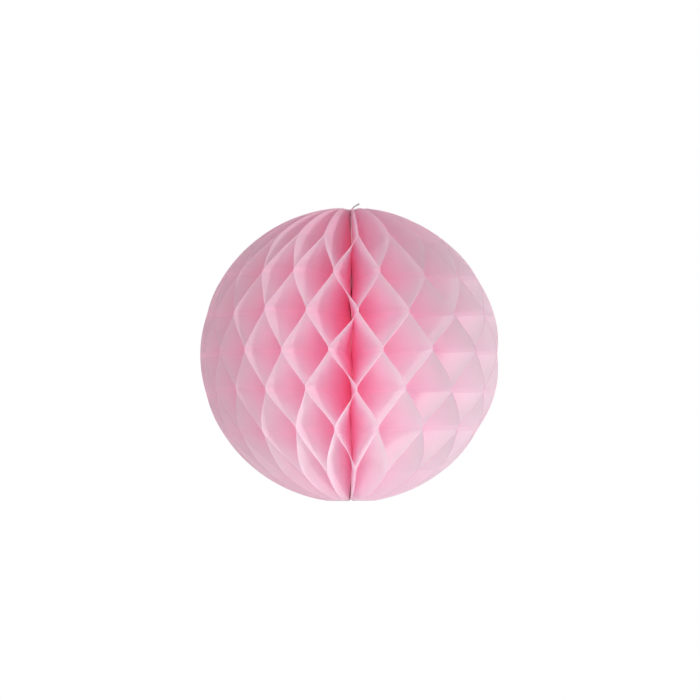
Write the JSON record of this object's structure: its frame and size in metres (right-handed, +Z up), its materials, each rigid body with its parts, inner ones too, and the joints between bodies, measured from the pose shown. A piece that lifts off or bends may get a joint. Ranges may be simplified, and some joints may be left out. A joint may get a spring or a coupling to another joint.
{
  "type": "honeycomb paper ball",
  "caption": "Round honeycomb decoration of tissue paper leaves glued in staggered rows and fanned out round a spine thread, hung from the thread's top end.",
  "frame": {"origin": "centre of the ball, midway between its two poles on the spine", "axes": "+Z up along the spine towards the thread's free end, -Y towards the front as pictured, +X to the right seen from the front"},
  "size_m": [0.0996, 0.0997, 0.0994],
  "materials": {
    "tissue_paper": "matte",
    "cotton_thread": "matte"
  },
  "bodies": {
    "root": {"tissue_honeycomb": "tissue_paper", "spine_thread": "cotton_thread"}
  },
  "joints": []
}
